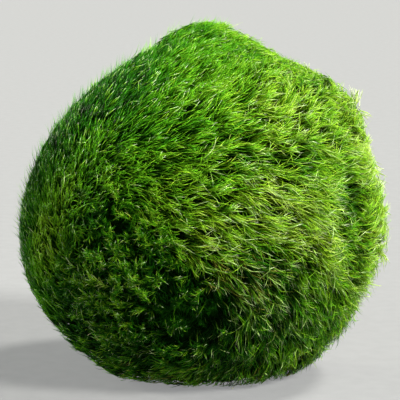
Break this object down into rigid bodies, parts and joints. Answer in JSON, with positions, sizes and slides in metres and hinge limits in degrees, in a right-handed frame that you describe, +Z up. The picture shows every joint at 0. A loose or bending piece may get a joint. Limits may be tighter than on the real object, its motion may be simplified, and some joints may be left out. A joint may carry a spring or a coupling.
{
  "type": "marimo moss ball",
  "caption": "Lopsided ball of fine green algal filaments with a blunt crown and a small flat spot that it rests on.",
  "frame": {"origin": "Middle of the ball's bounding box in X and Y, on the plane of the flat spot that it rests on.", "axes": "+Z is up, away from the flat spot, towards the crown. -Y is the front, the side with the whorl where the tufts start. +X is to the right seen from the front."},
  "size_m": [0.0523, 0.0517, 0.0498],
  "materials": {
    "moss": "damp, glossy green algal filaments, near-black between the tufts and yellow-green at the tips"
  },
  "bodies": {
    "root": {"moss_ball": "moss"}
  },
  "joints": []
}
